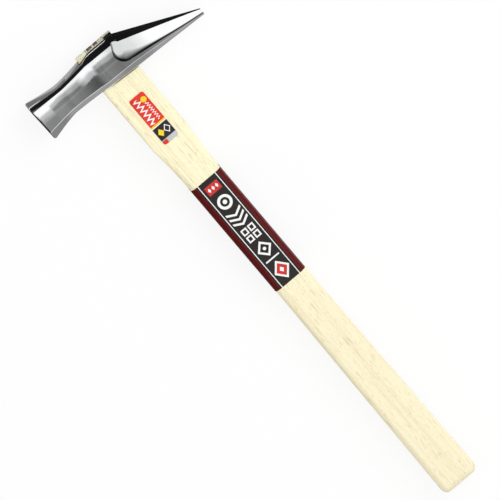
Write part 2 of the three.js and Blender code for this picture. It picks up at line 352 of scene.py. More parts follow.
@dataclass(frozen=True)
class PaintedEyeShade:
    """Painted shade on the wood round the eye, where it meets the steel: a dark line along the eye's edge,
    darker wood in the point's corner and along the tang's upper edge, and a painted contact shadow below the
    head. Places are in millimetres.

    Attributes:
        colour: Colour of the painted shade.
        fibres: Scale of the grain that frays its edges.
        crown_y: Between which places along the handle the marks in the eye set in.
        slope_x: Stretch of the eye's edge that rises to the crown.
        slope_y: Where that edge is along the handle at the stretch's ends.
        line: How far above the edge the line along it fades out.
        corner_x: Where the mark in the point's corner sets in, across the tang.
        corner_z: The same through its thickness.
        rim_z: Where the painted shade along the tang's upper edge sets in.
        rim_rise: How much nearer that is on the point's side.
        rim_share: How strong that painted shade is.
        under_shadow_x: Where the line below the head sets in.
        edge_x: Stretch over which the head's lower edge falls.
        edge_y: Where the wood comes out below that edge at the stretch's ends.
        under_shadow: How far past the head's edge the line fades in.
        under_shadow_top: How far under the head it fades out.
        under_shadow_share: How strong it is.
    """

    colour: Colour = tone(30, 26, 22)
    fibres: float = 0.9
    crown_y: Span = (8.0, 9.0)
    slope_x: Span = (-11.4, -5.0)
    slope_y: Span = (9.9, 11.6)
    line: Span = (0.45, 0.6)
    corner_x: Span = (5.8, 6.8)
    corner_z: Span = (9.3, 10.8)
    rim_z: Span = (15.2, 16.1)
    rim_rise: float = 1.5
    rim_share: float = 0.3
    under_shadow_x: Span = (-7.0, -2.0)
    edge_x: Span = (-5.0, 8.0)
    edge_y: Span = (-9.25, -10.0)
    under_shadow: Span = (-0.7, -0.4)
    under_shadow_top: Span = (1.2, 2.2)
    under_shadow_share: float = 0.8

    def over(self, s: Sketch, wood: bpy.types.NodeSocket) -> bpy.types.NodeSocket:
        """Lays the painted shade over the wood.

        Args:
            s: The material.
            wood: The wood's colour.

        Returns:
            The colour with the painted shade.
        """
        x, y, z = s.axes()
        fibres = s.noise(EVEN, self.fibres, 3.0)

        def frayed(value: bpy.types.NodeSocket, reach: float) -> bpy.types.NodeSocket:
            """A place, pushed back and forth by the fibres."""
            return s.sum("ADD", value, s.fit(fibres, 0.3, 0.7, -reach, reach))

        # Painted contact shade: a dark line along the eye's edge, where the wood goes into the steel.
        above = s.sum("SUBTRACT", y, s.fit(x, *self.slope_x, *self.slope_y))
        line = s.fit(frayed(above, 0.1), *self.line, 1.0, 0.0)
        # Painted shade: the wood darkened in the point's corner of the tang, beside the eye.
        corner = s.sum("MULTIPLY", s.fit(frayed(x, 0.7), *self.corner_x), s.fit(z, *self.corner_z))
        # Painted shade along the tang's upper edge, where it goes into the eye.
        nearer = s.sum("ADD", z, s.fit(x, -9.0, 11.0, 0.0, self.rim_rise))
        rim_shade = s.sum("MULTIPLY", s.fit(frayed(nearer, 0.4), *self.rim_z), self.rim_share)
        crown = s.sum("MAXIMUM", rim_shade, s.sum("MAXIMUM", line, corner))
        crown = s.sum("MULTIPLY", s.fit(y, *self.crown_y), crown)
        # Painted contact shadow: a dark band on the wood just below the head's lower edge.
        below = s.sum("SUBTRACT", y, s.fit(x, *self.edge_x, *self.edge_y))
        under_shadow = s.sum("MULTIPLY", s.fit(below, *self.under_shadow), s.fit(below, *self.under_shadow_top, self.under_shadow_share, 0.0))
        under_shadow = s.sum("MULTIPLY", under_shadow, s.fit(x, *self.under_shadow_x))
        return s.blend(s.sum("MAXIMUM", crown, under_shadow), wood, self.colour)


@dataclass(frozen=True)
class PaleWood:
    """Pale, fine-sanded hardwood with its short dark flecks along the grain.

    Attributes:
        upper: Colour near the head.
        lower: Colour near the butt.
        line: Colour of the growth lines.
        fleck: Colour of the short flecks.
        end: Colour of the end grain.
        pore: Colour of the pores there.
        eye_shade: Painted shade on it round the eye, where the steel meets it.
        fades: Between which places along the handle one colour gives way to the other.
    """

    upper: Colour = tone(252, 247, 210)
    lower: Colour = tone(251, 242, 208)
    line: Colour = tone(241, 228, 190)
    fleck: Colour = tone(205, 184, 142)
    end: Colour = tone(252, 250, 226)
    pore: Colour = tone(206, 194, 158)
    eye_shade: PaintedEyeShade = PaintedEyeShade()
    fades: Span = (-70.0, -170.0)

    def along(self) -> bpy.types.Material:
        """Makes the wood as it shows along the handle.

        Returns:
            The material.
        """
        s = Sketch("pale_wood")
        drift = s.noise((1, 0.05, 1), 0.12)
        down = s.sum("ADD", s.fit(s.axes()["Y"], *self.fades), s.fit(drift, 0.0, 1.0, -0.35, 0.35))
        ground = s.blend(s.fit(down, 0.0, 1.0), self.upper, self.lower)
        lines = s.noise((1, 0.018, 1), 0.62, 3.0, 0.55, 0.25)
        fine = s.noise((1, 0.03, 1), 3.2, 4.0, 0.6)
        short = s.noise((1, 0.16, 1), 2.6)
        ground = s.blend(s.fit(lines, 0.46, 0.68, 0.0, 0.75), ground, self.line)
        ground = s.blend(s.fit(fine, 0.5, 0.8, 0.0, 0.4), ground, self.line)
        ground = s.blend(s.fit(short, 0.58, 0.7, 0.0, 0.36), ground, self.fleck)
        dashes = s.fit(s.noise((1, 0.085, 1), 1.5, 2.0, 0.45), 0.615, 0.7)
        gate = s.fit(s.noise((1, 0.3, 1), 0.16, 1.0), 0.36, 0.56)
        strong = s.sum("MULTIPLY", dashes, gate)
        wood = s.blend(s.sum("MULTIPLY", strong, 0.6), ground, self.fleck)
        height = s.sum("SUBTRACT", s.sum("MULTIPLY", fine, 0.4), strong)
        s.surface(Base_Color=self.eye_shade.over(s, wood), Roughness=s.fit(fine, 0.3, 0.7, 0.5, 0.64),
                  Normal=s.bump(height, 0.03), Specular_IOR_Level=0.35)
        return s.material

    def across(self) -> bpy.types.Material:
        """Makes the wood as it shows on its two ends.

        Returns:
            The material.
        """
        s = Sketch("pale_wood_end")
        rings = s.noise((0.35, 1, 1), 0.9, 3.0, 0.5, 0.4, (0, 0.35, 0))
        cells = s.node("ShaderNodeTexVoronoi", {"Vector": s.place((1, 0.05, 1)), "Scale": 2.6})
        dots = s.fit(cells.outputs["Distance"], 0.16, 0.3, 1.0, 0.0)
        ground = s.blend(s.fit(rings, 0.35, 0.7, 0.0, 0.6), self.end, self.line)
        wood = s.blend(s.sum("MULTIPLY", dots, 0.25), ground, self.pore)
        s.surface(Base_Color=self.eye_shade.over(s, wood), Roughness=0.72,
                  Normal=s.bump(s.sum("SUBTRACT", rings, dots), 0.02), Specular_IOR_Level=0.25)
        return s.material


class Print(Sketch):
    """A printed surface: flat shapes laid one over the other, in millimetres on the sheet."""

    def __init__(self, name: str, ground: Colour, origin_x: float, origin_y: float) -> None:
        """Starts a print.

        Args:
            name: The material's name.
            ground: The colour of the whole sheet.
            origin_x: Where the sheet's middle line is along X.
            origin_y: Where the sheet's top is along Y.
        """
        super().__init__(name)
        parts = self.axes()
        self.across = self.sum("SUBTRACT", parts["X"], origin_x)
        self.down = self.sum("SUBTRACT", origin_y, parts["Y"])
        self.height = parts["Z"]
        self.colour = self.blend(0.0, ground, ground)

    def off(self, value: bpy.types.NodeSocket, middle: float) -> bpy.types.NodeSocket:
        """How far a value is from a middle."""
        return self.sum("ABSOLUTE", self.sum("SUBTRACT", value, middle))

    def box(self, x: float, y: float, width: float, height: float) -> bpy.types.NodeSocket:
        """A box on the sheet.

        Args:
            x: Its middle across.
            y: Its middle down the sheet.
            width: Its width.
            height: Its height.

        Returns:
            The distance outside it, less than zero inside.
        """
        side = self.sum("SUBTRACT", self.off(self.across, x), width / 2)
        end = self.sum("SUBTRACT", self.off(self.down, y), height / 2)
        return self.sum("MAXIMUM", side, end)

    def lozenge(self, x: float, y: float, width: float, height: float) -> bpy.types.NodeSocket:
        """A lozenge on the sheet.

        Args:
            x: Its middle across.
            y: Its middle down the sheet.
            width: Its width.
            height: Its height.

        Returns:
            The distance outside it, less than zero inside.
        """
        side = self.sum("MULTIPLY", self.off(self.across, x), height / width)
        sloped = self.sum("ADD", side, self.off(self.down, y))
        return self.sum("SUBTRACT", sloped, height / 2)

    def disc(self, x: float, y: float, radius: float) -> bpy.types.NodeSocket:
        """A disc on the sheet.

        Args:
            x: Its middle across.
            y: Its middle down the sheet.
            radius: Its radius.

        Returns:
            The distance outside it, less than zero inside.
        """
        side = self.sum("POWER", self.off(self.across, x), 2.0)
        end = self.sum("POWER", self.off(self.down, y), 2.0)
        return self.sum("SUBTRACT", self.sum("SQRT", self.sum("ADD", side, end)), radius)

    def zigzag(self, x: float, top: float, bottom: float, swing: float, pitch: float) -> bpy.types.NodeSocket:
        """A zigzag line that runs down the sheet.

        Args:
            x: Its middle.
            top: Where it starts.
            bottom: Where it ends.
            swing: How far it goes to each side.
            pitch: Length of one turn back and forth.

        Returns:
            The distance from it, or a large one above and below it.
        """
        along = self.sum("PINGPONG", self.sum("SUBTRACT", self.down, top), pitch / 2)
        middle = self.sum("SUBTRACT", self.sum("MULTIPLY", along, 4 * swing / pitch), swing - x)
        distance = self.sum("ABSOLUTE", self.sum("SUBTRACT", self.across, middle))
        over = self.sum("SUBTRACT", self.off(self.down, (top + bottom) / 2), (bottom - top) / 2)
        return self.sum("MAXIMUM", distance, over)

    def line(self, distance: bpy.types.NodeSocket, width: float) -> bpy.types.NodeSocket:
        """The outline of a shape, that wide."""
        return self.sum("SUBTRACT", self.sum("ABSOLUTE", distance), width / 2)

    def paint(self, distance: bpy.types.NodeSocket, colour: Colour) -> None:
        """Prints a colour where a distance is below zero, with an edge that is nearly sharp."""
        ink = self.fit(distance, -0.03, 0.03, 1.0, 0.0)
        self.colour = self.blend(ink, self.colour, colour)

    def finish(self, rough: float, coat: float, crease: bpy.types.NodeSocket,
               depth: float) -> bpy.types.Material:
        """Feeds the shader.

        Args:
            rough: Roughness of the sheet.
            coat: How much clear gloss lies on it.
            crease: The height of its creases.
            depth: How deep they are, in millimetres.

        Returns:
            The material.
        """
        grain = self.noise(EVEN, 9.0)
        worn = self.blend(self.fit(grain, 0.5, 0.9, 0.0, 0.05), self.colour, (0.8, 0.8, 0.8))
        self.surface(Base_Color=worn, Roughness=self.fit(grain, 0.3, 0.7, rough * 0.8, rough * 1.2),
                     Coat_Weight=coat, Coat_Roughness=0.12, Specular_IOR_Level=0.2,
                     Normal=self.bump(crease, depth))
        return self.material


@dataclass(frozen=True)
class StickerPrint:
    """The sticker's own design: two rows of saw teeth, a disc, lozenges and bands on red."""

    red: Colour = tone(226, 52, 30)
    yellow: Colour = tone(248, 214, 36)
    black: Colour = tone(38, 36, 34)
    silver: Colour = tone(196, 197, 202)
    white: Colour = tone(250, 250, 248)

    def material(self, middle_x: float, top_y: float) -> bpy.types.Material:
        """Makes the material.

        Args:
            middle_x: The sticker's middle along X.
            top_y: The sticker's top along Y.

        Returns:
            The material.
        """
        p = Print("sticker_print", self.red, middle_x, top_y)
        p.paint(p.line(p.zigzag(-1.5, 2.6, 16.6, 1.5, 2.8), 1.5), self.white)
        p.paint(p.line(p.zigzag(2.4, 6.2, 16.6, 0.8, 1.5), 0.7), self.white)
        p.paint(p.disc(2.3, 3.9, 1.6), self.yellow)
        p.paint(p.box(0, 18.4, 12, 0.8), self.yellow)
        p.paint(p.box(0, 24.2, 12, 10.6), self.white)
        p.paint(p.box(0, 24.3, 12, 9.8), self.black)
        p.paint(p.lozenge(-1.9, 23.2, 3.6, 4.6), self.yellow)
        p.paint(p.line(p.lozenge(2.0, 23.2, 3.4, 4.4), 0.7), self.white)
        p.paint(p.box(0, 28.4, 12, 2.9), self.silver)
        p.paint(p.box(-3.2, 28.6, 3.0, 2.6), self.red)
        return p.finish(0.34, 0.25, p.noise(EVEN, 0.35), 0.02)


@dataclass(frozen=True)
class SleevePrint:
    """The film's own design: a charcoal panel with plain figures between dark red sides.

    Attributes:
        charcoal: Colour of the panel.
        maroon: Colour of the sides and the back.
        edge: Colour of the soft line outside the panel's border.
        red: Colour of the figures' grounds.
        white: Colour of the figures and the border.
        panel_half: Half the width of the panel with its border.
        edge_width: Width of both soft lines together.
        border_width: Width of both borders together.
        chevron_half: Half the width of a chevron.
        chevron_slope: How steep its arms are.
        chevron_drop: How far its point is below their ends.
    """

    charcoal: Colour = tone(38, 35, 33)
    maroon: Colour = tone(90, 6, 6)
    edge: Colour = tone(26, 22, 21)
    red: Colour = tone(204, 48, 42)
    white: Colour = tone(246, 246, 244)
    panel_half: float = 6.05
    edge_width: float = 1.5
    border_width: float = 0.9
    chevron_half: float = 4.0
    chevron_slope: float = 0.55
    chevron_drop: float = 2.0

    def material(self, top_y: float, middle_z: float) -> bpy.types.Material:
        """Makes the material.

        Args:
            top_y: The film's top along Y.
            middle_z: The height of the handle's middle.

        Returns:
            The material.
        """
        p = Print("sleeve_print", self.maroon, 0.0, top_y)
        panel = 2 * self.panel_half
        for width, ink in ((panel + self.edge_width, self.edge), (panel, self.white),
                           (panel - self.border_width, self.charcoal)):
            p.paint(p.box(0, 34.6, width, 80), ink)
        p.paint(p.box(0, 5.6, 8.2, 5.2), self.red)
        for x in (-2.4, 0.0, 2.4):
            p.paint(p.lozenge(x, 5.6, 1.7, 2.6), self.white)
        p.paint(p.line(p.disc(0, 15.2, 3.3), 1.5), self.white)
        p.paint(p.disc(0, 15.2, 1.2), self.white)
        for drop in (0.0, 3.0, 6.0):
            p.paint(p.line(self.chevron(p, 22.2 + drop), 1.3), self.white)
        for x in (-2.2, 2.2):
            for y in (34.2, 38.8):
                p.paint(p.line(p.box(x, y, 2.7, 2.9), 0.8), self.white)
        p.paint(p.line(p.lozenge(0, 47.4, 7.4, 8.0), 1.6), self.white)
        p.paint(p.disc(0, 47.4, 0.9), self.white)
        p.paint(p.box(0, 54.0, 8.6, 0.8), self.white)
        p.paint(p.lozenge(0, 61.6, 9.6, 11.4), self.white)
        p.paint(p.lozenge(0, 61.6, 7.0, 8.2), self.red)
        p.paint(p.lozenge(0, 61.6, 2.6, 3.2), self.white)
        p.paint(p.sum("SUBTRACT", p.height, middle_z), self.maroon)
        return p.finish(0.3, 0.12, p.noise((1, 0.35, 1), 0.22, 3.0, 0.5, 0.6), 0.12)

    def chevron(self, p: Print, y: float) -> bpy.types.NodeSocket:
        """A chevron across the panel.

        Args:
            p: The print.
            y: Where its arms' ends are down the sheet.

        Returns:
            The distance from it.
        """
        aside = p.off(p.across, 0.0)
        rise = p.sum("MULTIPLY", aside, self.chevron_slope)
        line = p.sum("SUBTRACT", p.sum("ADD", p.down, rise), y + self.chevron_drop)
        return p.sum("MAXIMUM", p.sum("ABSOLUTE", line), p.sum("SUBTRACT", aside, self.chevron_half))


# Meshes


def turned(direction: Vector, angle: float) -> Vector:
    """A direction in the plane, turned anticlockwise."""
    cosine, sine = math.cos(angle), math.sin(angle)
    return Vector((direction.x * cosine - direction.y * sine, direction.x * sine + direction.y * cosine))


@dataclass(frozen=True)
class Ridge:
    """How a corner of an outline is rounded.

    Attributes:
        radius: Radius of the rounding.
        slices: How many flats draw it.
        margin: Width of the narrow flat beside it, which keeps the faces next to it flat.
    """

    radius: float
    slices: int = 4
    margin: float = 0.15

    def arc(self, into: Vector, corner: Vector, away: Vector) -> list[Vector]:
        """The points that take a corner's place.

        Args:
            into: The direction of the side that ends there.
            corner: The corner.
            away: The direction of the side that starts there.

        Returns:
            The points, in order.
        """
        angle = into.angle(away)
        start = corner - into * self.radius * math.tan(angle / 2)
        centre = start + turned(into, math.pi / 2) * self.radius
        arc = [centre + turned(start - centre, angle * k / self.slices) for k in range(self.slices + 1)]
        return [start - into * self.margin, *arc, arc[-1] + away * self.margin]


def rounded(corners: Sequence[Vector], ridges: Sequence[Ridge], between: Sequence[int],
            bulges: Sequence[float]) -> list[Vector]:
    """Rounds a convex anticlockwise outline.

    Args:
        corners: Its corners.
        ridges: How each of them is rounded.
        between: How many points each side gets between its rounded ends.
        bulges: How far each side turns outwards at its ends, in radians.

    Returns:
        The rounded outline.
    """
    count = len(corners)
    sides = [(corners[(i + 1) % count] - corner).normalized() for i, corner in enumerate(corners)]
    arcs = []
    for i, (corner, ridge) in enumerate(zip(corners, ridges)):
        into, away = turned(sides[i - 1], bulges[i - 1]), turned(sides[i], -bulges[i])
        arcs.append(ridge.arc(into, corner, away))
    outline = []
    for i, arc in enumerate(arcs):
        outline += arc
        start, end = arc[-1], arcs[(i + 1) % count][0]
        out = turned(end - start, -math.pi / 2) * math.tan(bulges[i])
        for k in range(1, between[i] + 1):
            share = k / (between[i] + 1)
            outline.append(start.lerp(end, share) + out * share * (1 - share))
    return outline


def rounded_box(width: float, height: float, ridge: Ridge, between: tuple[int, int]) -> list[Vector]:
    """A rectangle about the origin with rounded corners.

    Args:
        width: Its width.
        height: Its height.
        ridge: How its corners are rounded.
        between: How many points its sides get along its width and along its height.

    Returns:
        The outline.
    """
    signs = ((1, 1), (-1, 1), (-1, -1), (1, -1))
    corners = [Vector((width / 2 * a, height / 2 * b)) for a, b in signs]
    return rounded(corners, [ridge] * 4, between * 2, [0.0] * 4)


class Skin:
    """A closed mesh drawn from ring to ring."""

    def __init__(self, rings: list[list[Vector]]) -> None:
        """Draws the mesh.

        Args:
            rings: Rings of points in millimetres, as many in each. The first and the last are closed.
        """
        self.mesh = bmesh.new()
        bmesh.ops.create_circle(self.mesh, cap_ends=True, segments=len(rings[0]), radius=1.0)
        self.mesh.faces.ensure_lookup_table()
        end = self.mesh.faces[0]
        self.set_ring(end, rings[0])
        for ring in rings[1:]:
            end = bmesh.ops.extrude_discrete_faces(self.mesh, faces=[end])["faces"][0]
            self.set_ring(end, ring)
        open_edges = [edge for edge in self.mesh.edges if edge.is_boundary]
        bmesh.ops.holes_fill(self.mesh, edges=open_edges, sides=0)
        bmesh.ops.recalc_face_normals(self.mesh, faces=self.mesh.faces)

    @staticmethod
    def set_ring(face: bmesh.types.BMFace, ring: list[Vector]) -> None:
        """Puts a face's corners on a ring."""
        for vertex, point in zip(face.verts, ring, strict=True):
            vertex.co = point * MM

    def object(self, name: str) -> bpy.types.Object:
        """Turns the mesh into an object of the scene."""
        return as_object(self.mesh, name)


def as_object(mesh: bmesh.types.BMesh, name: str) -> bpy.types.Object:
    """Turns a mesh into an object of the scene.

    Args:
        mesh: The mesh, which is freed.
        name: The object's name.

    Returns:
        The object.
    """
    data = bpy.data.meshes.new(name)
    mesh.to_mesh(data)
    mesh.free()
    made = bpy.data.objects.new(name, data)
    bpy.context.scene.collection.objects.link(made)
    return made


def sheet(name: str, width: float, depth: float) -> bpy.types.Object:
    """Makes a flat sheet about the origin that faces up.

    Args:
        name: The object's name.
        width: Its size along X, in metres.
        depth: Its size along Y, in metres.

    Returns:
        The sheet.
    """
    made = bmesh.new()
    bmesh.ops.create_grid(made, x_segments=1, y_segments=1, size=0.5)
    bmesh.ops.scale(made, vec=(width, depth, 1), verts=made.verts)
    return as_object(made, name)


def carve(piece: bpy.types.Object, cutters: list[bpy.types.Object]) -> None:
    """Cuts other objects out of a piece, and removes them.

    Args:
        piece: The piece.
        cutters: What is cut out of it.
    """
    for cutter in cutters:
        modifier = piece.modifiers.new("cut", "BOOLEAN")
        modifier.operation = "DIFFERENCE"
        modifier.solver = "EXACT"
        modifier.object = cutter
    graph = bpy.context.evaluated_depsgraph_get()
    carved = bpy.data.meshes.new_from_object(piece.evaluated_get(graph))
    piece.modifiers.clear()
    old = piece.data
    carved.name = old.name
    piece.data = carved
    bpy.data.meshes.remove(old)
    for cutter in cutters:
        bpy.data.meshes.remove(cutter.data)


def smooth(piece: bpy.types.Object, angle: float = 40) -> None:
    """Shades a piece smooth, apart from edges sharper than an angle in degrees."""
    piece.data.shade_smooth()
    piece.data.set_sharp_from_angle(angle=math.radians(angle))


def settle(piece: bpy.types.Object, node: str, slot: Slot, *materials: bpy.types.Material) -> None:
    """Gives a piece its materials and its place on the part.

    Args:
        piece: The piece.
        node: The node of the part that it stands for.
        slot: Its material slot in the record. Not used.
        *materials: Its materials, the first for all faces.
    """
    piece.data.materials.clear()
    for material in materials:
        piece.data.materials.append(material)
    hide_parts(node)
    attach(piece, BODY)
    log.info("%s: %d faces", piece.name, len(piece.data.polygons))


@dataclass(frozen=True)
class Station:
    """An eight-sided section of the head, by its heights about the face's axis and its half widths."""

    top: float
    top_edge: float
    bottom_edge: float
    bottom: float
    side: float
    top_flat: float
    bottom_flat: float

    def toward(self, other: "Station", share: float) -> "Station":
        """The section that lies a share of the way to another."""
        return Station(*[mix(a, b, share) for a, b in zip(astuple(self), astuple(other), strict=True)])

    def flared(self, other: "Station", share: float, power: float, side_power: float) -> "Station":
        """A section on its way to another, whose half width grows by a power of its own."""
        side = mix(self.side, other.side, share ** side_power)
        return replace(self.toward(other, share ** power), side=side)

    def corners(self, bulge: float) -> list[Vector]:
        """Its corners as (height, width), anticlockwise as seen from the point.

        Args:
            bulge: How far its two sides turn outwards at their ends, in radians.

        Returns:
            The corners. Each side's middle stands proud of them, as far out as the side is to reach.
        """
        side = self.side - math.tan(bulge) * (self.top_edge - self.bottom_edge) / 4
        points = [
            (self.top, self.top_flat), (self.top, -self.top_flat), (self.top_edge, -side),
            (self.bottom_edge, -side), (self.bottom, -self.bottom_flat), (self.bottom, self.bottom_flat),
            (self.bottom_edge, side), (self.top_edge, side),
        ]
        return [Vector(p) for p in reversed(points)]


def inset(corners: list[Vector], distance: float) -> list[Vector]:
    """Moves every side of a convex anticlockwise outline inwards.

    Args:
        corners: Its corners.
        distance: How far.

    Returns:
        The new corners.
    """
    moved = []
    for i, corner in enumerate(corners):
        normal_in = turned((corner - corners[i - 1]).normalized(), math.pi / 2)
        normal_out = turned((corners[(i + 1) % len(corners)] - corner).normalized(), math.pi / 2)
        middle = (normal_in + normal_out).normalized()
        moved.append(corner + middle * distance / middle.dot(normal_out))
    return moved


@dataclass
class HammerHead:
    """The steel head: flared face, neck, eye block and ground point.

    Attributes:
        middle_z: Height of the middle plane above the floor.
        face_lean: How far the striking face leans towards the handle.
        face_flare_power: How fast the section grows from the neck to the face. The other powers likewise.
        cheek_blend: Length over which the sides run from the shoulder into the cheeks.
        polish_reach: How far to each side of a bend polishing softens it.
        ridge_radii: Radii of the eight long edges, in the order of a section's corners.
        bulge: How far the sides turn outwards at their ends.
        slices: How many sections each span gets, from the rim to the tip.
        fine_reach: How far beside the crown's end and the point's root the close sections reach.
        crease: Angle in degrees past which an edge stays sharp.
        ground_radius: Radius of the hollow's round start, whose centre is at ground_x and ground_y.
        ground_top_angle: Where that round start ends at the top.
        ground_foot_slope: How far the hollow's lower edge turns from the head's length.
        ground_floor: Height of the hollow's floor above the middle plane, at its start.
        ground_tilt: How far the floor leans, lower towards the crown.
        dish: Width of the slope at the foot of the hollow's wall, which the fillet follows.
        swell_start: Where round the hollow's start its wall begins to widen.
        fade_power: How fast the wall gets narrower towards the tip.
    """

    middle_z: float
    face_x: float = -46.18
    neck_x: float = -28.5
    shoulder_x: float = -10.2
    cheek_start_x: float = -4.5
    cheek_end_x: float = 6.9
    crown_end_x: float = 10.4
    point_root_x: float = 11.2
    tip_x: float = 54.6
    face_lean: float = math.radians(2)
    rim_radius: float = 1.1
    rim_slices: int = 9
    face_flare_power: float = 1.3
    face_side_flare_power: float = 2.0
    shoulder_flare_power: float = 1.6
    shoulder_side_flare_power: float = 2.2
    cheek_blend: float = 7.25
    polish_reach: float = 0.3
    polish_steps: int = 5
    ridge_radii: tuple[float, ...] = (0.12, 0.9, 1.0, 1.0, 0.9, 0.15, 2.8, 2.8)
    ridge_radius_at_tip: float = 0.12
    ridge_slices: int = 6
    ridge_margin: float = 0.15
    ridge_margin_at_tip: float = 0.04
    bulge: float = math.radians(2.75)
    side_points: int = 7
    slices: tuple[int, ...] = (22, 24, 14, 12, 5, 10, 16)
    fine_reach: float = 0.4
    eye_width: float = 23.4
    eye_thickness: float = 11.6
    eye_corner: float = 1.3
    eye_slices: int = 8
    crease: float = 24.0
    crown_height: float = 11.6
    overrun: float = 3.0
    ground_radius: float = 6.5
    ground_x: float = 11.25
    ground_y: float = 2.15
    ground_top_angle: float = math.radians(152)
    ground_foot_slope: float = math.radians(-9.75)
    ground_floor: float = 8.42
    ground_floor_at_tip: float = 1.4
    ground_tilt: float = math.radians(2.6)
    dish: float = 4.2
    dish_at_tip: float = 0.3
    dish_slope: float = math.radians(10)
    fillet: float = 4.0
    fillet_at_tip: float = 0.45
    swell_start: float = math.radians(110)
    fade_power: float = 3.2
    dish_fade_power: float = 2.0
    arc_slices: int = 36
    foot_slices: int = 16
    dish_slices: int = 5
    fillet_slices: int = 12
    face: Station = Station(10.35, 7.35, -6.4, -10.95, 10.3, 9.4, 7.9)
    neck: Station = Station(8.4, 6.6, -5.2, -7.9, 8.1, 6.1, 5.95)
    shoulder: Station = Station(10.2, 8.5, -5.7, -8.4, 9.75, 6.6, 7.6)
    cheek_start: Station = Station(11.6, 8.45, -6.1, -8.72, 10.49, 7, 8.4)
    cheek_end: Station = Station(11.6, 8.3, -6.35, -9.5, 10.49, 7, 8)
    crown_end: Station = Station(11.6, 5.0, -6.6, -9.95, 9.8, 6.8, 7.1)
    point_root: Station = Station(9.85, 5.2, -6.65, -10.05, 9.6, 6.3, 6.9)
    tip: Station = Station(-9.3, -9.6, -12, -12.7, 1.9, 1, 1.35)

    def bare_station(self, x: float) -> Station:
        """The section at a place along the head, before polishing.

        Args:
            x: The place.

        Returns:
            The section.
        """
        rim_end = self.face_x + self.rim_radius
        if x <= self.neck_x:
            left = (self.neck_x - max(x, rim_end)) / (self.neck_x - rim_end)
            return self.neck.flared(self.face, left, self.face_flare_power, self.face_side_flare_power)
        if x <= self.shoulder_x:
            gone = (x - self.neck_x) / (self.shoulder_x - self.neck_x)
            powers = self.shoulder_flare_power, self.shoulder_side_flare_power
            return self.neck.flared(self.shoulder, gone, *powers)
        if x <= self.shoulder_x + self.cheek_blend:
            left = 1 - (x - self.shoulder_x) / self.cheek_blend
            side = mix(self.cheek_start.side, self.shoulder.side, left ** 2)
            return replace(self.cheek_station(x), side=side)
        return self.cheek_station(x)

    def cheek_station(self, x: float) -> Station:
        """The section from the shoulder on, before its sides are blended into the cheeks.

        Args:
            x: The place along the head.

        Returns:
            The section.
        """
        if x <= self.cheek_start_x:
            gone = (x - self.shoulder_x) / (self.cheek_start_x - self.shoulder_x)
            return self.shoulder.toward(self.cheek_start, math.sin(gone * math.pi / 2))
        stops = [(self.cheek_start_x, self.cheek_start), (self.cheek_end_x, self.cheek_end),
                 (self.crown_end_x, self.crown_end), (self.point_root_x, self.point_root),
                 (self.tip_x, self.tip)]
        for (start_x, start), (end_x, end) in pairwise(stops):
            if x <= end_x:
                return start.toward(end, (x - start_x) / (end_x - start_x))
        return self.tip

    def station(self, x: float) -> Station:
        """The section at a place along the head, its bends softened as polishing does.

        Args:
            x: The place.

        Returns:
            The section.
        """
        steps = self.polish_steps
        near = [self.bare_station(x + self.polish_reach * k / steps) for k in range(-steps, steps + 1)]
        return Station(*[sum(sizes) / len(near) for sizes in zip(*map(astuple, near))])

    def ring(self, corners: list[Vector], x: float, lean: float = 0.0) -> list[Vector]:
        """A rounded section as points of the head.

        Args:
            corners: The section's corners.
            x: Its place along the head.
            lean: How far it leans towards the handle.

        Returns:
            The points.
        """
        along = max(0.0, (x - self.point_root_x) / (self.tip_x - self.point_root_x))
        margin = mix(self.ridge_margin, self.ridge_margin_at_tip, along)
        radii = [mix(radius, self.ridge_radius_at_tip, along) for radius in self.ridge_radii]
        ridges = [Ridge(radius, self.ridge_slices, margin) for radius in radii]
        between = [self.side_points, 1, 1, 1, self.side_points, 1, 1, 1]
        bulges = [self.bulge if points > 1 else 0.0 for points in between]
        outline = rounded(corners, ridges, between, bulges)
        return [Vector((x - p.x * math.tan(lean), p.x, p.y + self.middle_z)) for p in outline]

    def rings(self) -> list[list[Vector]]:
        """Draws the sections of the head.

        Returns:
            The sections, from the striking face to the tip.
        """
        rings = []
        for i in range(self.rim_slices + 1):
            angle = i / self.rim_slices * math.pi / 2
            corners = inset(self.face.corners(self.bulge), self.rim_radius * (1 - math.sin(angle)))
            x = self.face_x + self.rim_radius * (1 - math.cos(angle))
            rings.append(self.ring(corners, x, self.face_lean))
        rim_end = self.face_x + self.rim_radius
        stops = (rim_end, self.neck_x, self.shoulder_x, self.cheek_start_x, self.cheek_end_x,
                 self.crown_end_x - self.fine_reach, self.point_root_x + self.fine_reach, self.tip_x)
        for (start, end), count in zip(pairwise(stops), self.slices, strict=True):
            for k in range(1, count + 1):
                x = mix(start, end, k / count)
                left = max(0.0, (self.neck_x - x) / (self.neck_x - rim_end))
                station = self.tip if x >= self.tip_x else self.station(x)
                rings.append(self.ring(station.corners(self.bulge), x, self.face_lean * left))
        return rings

    def ground_level(self, x: float, y: float) -> float:
        """How deep the hollow is ground.

        Args:
            x: A place along the head.
            y: A place along the handle.

        Returns:
            The height of the hollow's floor above the middle plane there.
        """
        along = (x - self.ground_x) / (self.tip_x - self.ground_x)
        middle_y = mix(self.ground_y, mix(self.tip.top, self.tip.bottom, 0.5), along)
        level = mix(self.ground_floor, self.ground_floor_at_tip, along)
        return level - math.tan(self.ground_tilt) * (y - middle_y)

